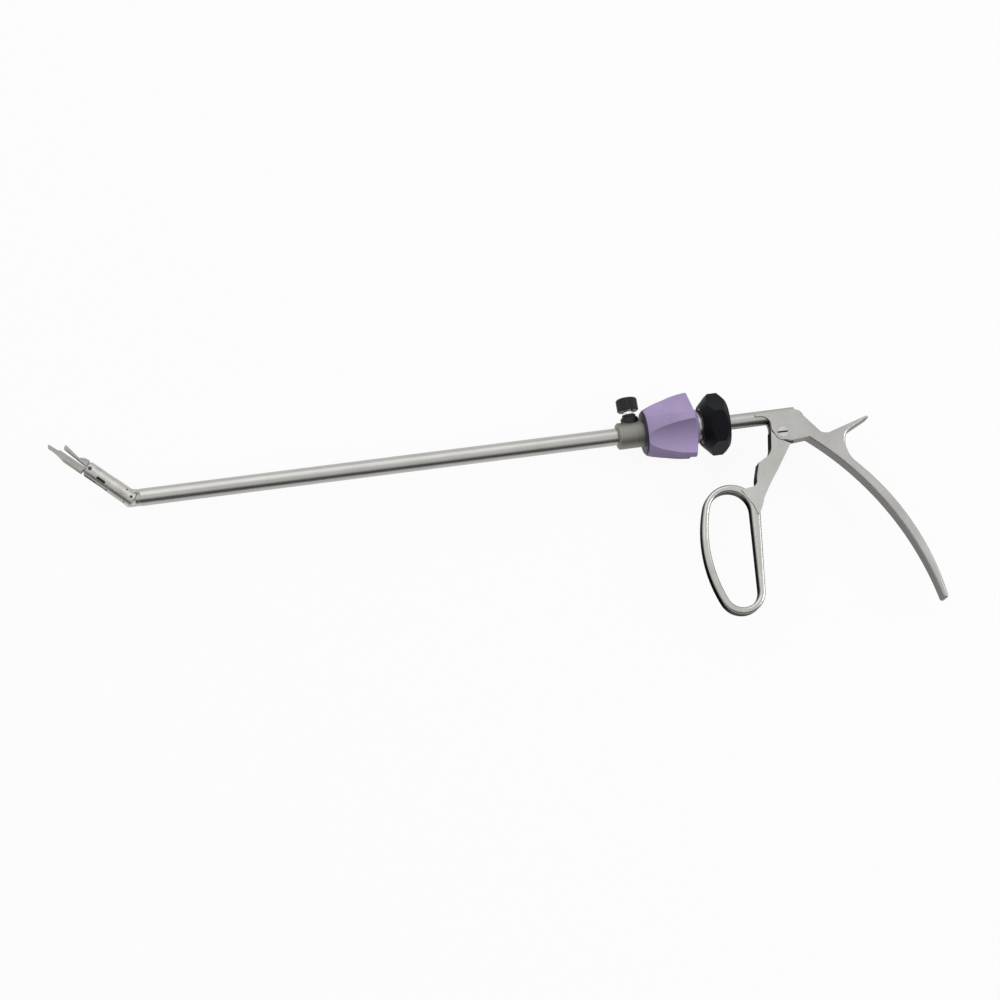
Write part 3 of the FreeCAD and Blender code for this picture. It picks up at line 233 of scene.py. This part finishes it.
port_black = moulded("port_black", (0.014, 0.014, 0.016), (0.006, 0.006, 0.007), rough=0.4,
                     shine=0.26)
dress(port_black, "port_base", "port_cap")
bright_steel = lined_steel("bright_steel", (0.88, 0.89, 0.90), (0.74, 0.75, 0.76), TURNED,
                           rough=0.12)
dress(bright_steel, "port_stem")
soft_rubber = moulded("soft_rubber", (0.05, 0.05, 0.052), (0.03, 0.03, 0.03), rough=0.7)
dress(soft_rubber, "port_seal", "rod_seal")

# Rotation knob
# One lilac moulding with scooped flutes and a matte, faintly clouded skin, held by a steel grub
# screw. A dark moulded ring closes its front.

knob_finish = Finish("lilac_moulding")
skin = knob_finish.noise(1500, detail=2.0)
cloud = knob_finish.noise(45, rough=0.55)
lilac = knob_finish.mottle((0.300, 0.234, 0.400), (0.350, 0.280, 0.460), skin, cloud,
                           fine_share=0.3)
knob_lilac = knob_finish.surface(
    Base_Color=lilac,
    Roughness=cloud.about(0.55, spread=0.14),
    Specular_IOR_Level=0.22,
    Normal=knob_finish.bump(skin, depth=0.00003, strength=0.4))
dress(knob_lilac, "rotation_knob")
dress(turned_steel, "knob_screw")
ring_black = moulded("ring_black", (0.040, 0.034, 0.052), (0.020, 0.017, 0.026), rough=0.5)
dress(ring_black, "knob_ring")

# Articulation wheel
# A six-sided matte black moulding over a threaded insert of pale brass, which moves a steel ring
# along. The bush that carries the shaft's tail on the neck bar is of the same brass.

wheel_black = moulded("wheel_black", (0.008, 0.009, 0.012), (0.003, 0.0035, 0.005), rough=0.45,
                      grain=0.00004, shine=0.08)
dress(wheel_black, "articulation_wheel")
turned_brass = lined_steel("turned_brass", (0.74, 0.67, 0.49), (0.58, 0.51, 0.35), TURNED,
                           rough=0.28)
dress(turned_brass, "wheel_nut", "neck_bush")
dress(turned_steel, "key_ring")

# Handle and trigger lever
# Both are forged stainless steel, satin and pale on the flat faces, with painted shade on the
# narrow sides, deepest where they face the jaws. The lever's screw is polished, with painted shade
# in its slot, and the clip on the neck bar is dark.


def forged_steel(name, light, dark, side_shade, front_shade, rough, graze):
    """Pale on the flat faces. The narrow walls are painted in shade with the side colour, and in
    deeper painted shade with the front colour where they face the jaws.

    graze is how much light comes off at a flat angle."""
    finish = Finish(name)
    grain = finish.noise(1400, detail=2.0, rough=0.65)
    cloud = finish.noise(40)
    along, _, up = finish.axes(finish.facing())
    face = finish.mottle(dark, light, grain, cloud, fine_share=0.4)
    # Painted shade: the narrow walls take the side colour, and the front colour where they face the
    # jaws.
    wall_shade = finish.blend(side_shade, front_shade, (along * -1.0).between(0.55, 0.95))
    return finish.surface(
        Base_Color=finish.blend(wall_shade, face, abs(up).between(0.2, 0.75)),
        Metallic=1.0,
        Specular_Tint=(graze, graze, graze, 1),
        Roughness=cloud.about(rough, spread=0.1),
        Normal=finish.bump(grain, depth=0.00003, strength=0.35))


# The side and front colours here are painted shade for the narrow walls.
handle_steel = forged_steel("handle_steel", (0.50, 0.495, 0.475), (0.41, 0.405, 0.385),
                            side_shade=(0.20, 0.19, 0.18), front_shade=(0.15, 0.145, 0.135),
                            rough=0.33, graze=0.75)
dress(handle_steel, "handle_body")
dress(dark_and_shade_steel, "retaining_clip")
lever_steel = forged_steel("lever_steel", (0.56, 0.555, 0.53), (0.45, 0.445, 0.42),
                           side_shade=(0.24, 0.23, 0.22), front_shade=(0.055, 0.053, 0.050),
                           rough=0.28, graze=0.2)
dress(lever_steel, "trigger_lever")

SCREW_TOP = 0.0058
SLOT_SHADE_BELOW = 0.0006
SLOT_PALE_ABOVE = 0.0003
screw_finish = Finish("screw_steel")
grain = screw_finish.noise(1400, detail=2.0, rough=0.65)
height = screw_finish.axes(screw_finish.place())[2]
polish = screw_finish.blend((0.54, 0.54, 0.52), (0.66, 0.65, 0.63), grain.between(0.35, 0.65))
# Painted shade in the slot: below the screw's top the colour fades to near-black.
clear_of_slot_shade = height.between(SCREW_TOP - SLOT_SHADE_BELOW, SCREW_TOP - SLOT_PALE_ABOVE)
screw_steel = screw_finish.surface(
    Base_Color=screw_finish.blend(RECESS_SHADE, polish, clear_of_slot_shade),
    Metallic=1.0,
    Roughness=grain.about(0.23, spread=0.1))
dress(screw_steel, "pivot_screw")

# Studio
# A pale floor under the instrument, and a sky that is bright overhead and on the port's side and
# dim on the loop's side. A wide lamp hangs on the port's side and a small one beyond the handle.

FLOOR_SIZE = 12
FLOOR_HEIGHT = -0.0209
FLOOR_GREY = (0.66, 0.66, 0.66, 1)
FLOOR_GLOW = 0.93
WHITE = (1, 1, 1, 1)
bpy.ops.object.select_all(action="DESELECT")
bpy.ops.mesh.primitive_plane_add(size=FLOOR_SIZE, location=(0, 0, FLOOR_HEIGHT))
floor = bpy.context.object
floor.name = "floor"
bpy.ops.object.transform_apply(location=True, rotation=True, scale=True)

# To the eye, also in a reflection, the floor is nearly white. Other light finds it a plain grey.
paper = Finish("paper_floor")
path = paper.node("LightPath").outputs
seen = Number(paper, path["Is Camera Ray"]) + Number(paper, path["Is Glossy Ray"])
seen = (seen + Number(paper, path["Is Transmission Ray"])).between(0, 1)
matt = paper.node("BsdfDiffuse", inputs={"Color": FLOOR_GREY})
glow = paper.node("Emission", inputs={"Color": WHITE, "Strength": 1.0})
both = paper.node("MixShader", inputs={0: seen * FLOOR_GLOW, 1: matt.outputs[0], 2: glow.outputs[0]})
paper.node("OutputMaterial", inputs={"Surface": both.outputs[0]})
floor.data.materials.append(paper.owner)

SKY_DIM = (0.06, 0.06, 0.06)
SKY_BRIGHT = (0.92, 0.92, 0.92)
SKY_LEAN = 1.2
world = bpy.data.worlds.new("studio")
bpy.context.scene.world = world
sky = Finish("studio", world)
across, height = sky.axes(sky.node("TexCoord").outputs["Generated"])[1:]
bright_side = (height + across * SKY_LEAN).between(-0.12, 0.16)
colour = sky.blend(SKY_DIM, SKY_BRIGHT, bright_side)
seen = Number(sky, sky.node("LightPath").outputs["Is Camera Ray"])
light = sky.node("Background", inputs={"Color": colour, "Strength": 1.0})
white = sky.node("Background", inputs={"Color": WHITE, "Strength": 1.0})
mixed = sky.node("MixShader", inputs={0: seen, 1: light.outputs[0], 2: white.outputs[0]})
sky.node("OutputWorld", inputs={"Surface": mixed.outputs[0]})


def soft_lamp(name, place, aim, size, power):
    bpy.ops.object.light_add(type="AREA", location=place)
    lamp = bpy.context.object
    lamp.name = name
    lamp.data.shape = "DISK"
    lamp.data.size = size
    lamp.data.energy = power
    lamp.rotation_euler = (Vector(aim) - Vector(place)).to_track_quat("-Z", "Y").to_euler()


soft_lamp("key_lamp", (-0.25, 0.95, 1.15), aim=(-0.05, 0, 0), size=1.5, power=4.5)
soft_lamp("end_lamp", (1.1, -0.2, 0.8), aim=(0, 0, 0), size=0.6, power=5)

# Camera
# It hangs almost two metres over the flat side of the instrument, a little towards the jaws and
# the loop, and is turned a few degrees, so that the shaft falls away to the left.

EYE = Vector((-0.3602, -0.4265, 1.8161))
AIM = Vector((-0.07394, -0.02837, 0.00019))
ROLL = math.radians(9.296)
LENS = 117.65
SENSOR_WIDTH = 36
CLIP_NEAR = 0.05
CLIP_FAR = 20
forward = (AIM - EYE).normalized()
level_right = forward.cross(Vector((0, 1, 0))).normalized()
level_up = level_right.cross(forward)
right = math.cos(ROLL) * level_right - math.sin(ROLL) * level_up
up = math.sin(ROLL) * level_right + math.cos(ROLL) * level_up
turn = Matrix((right, up, -forward)).transposed().to_4x4()
bpy.ops.object.camera_add(location=EYE)
camera = bpy.context.object
camera.name = "photo_camera"
camera.matrix_world = Matrix.Translation(EYE) @ turn
camera.data.lens = LENS
camera.data.sensor_width = SENSOR_WIDTH
camera.data.clip_start = CLIP_NEAR
camera.data.clip_end = CLIP_FAR
bpy.context.scene.camera = camera
bpy.context.scene.view_settings.view_transform = "Standard"
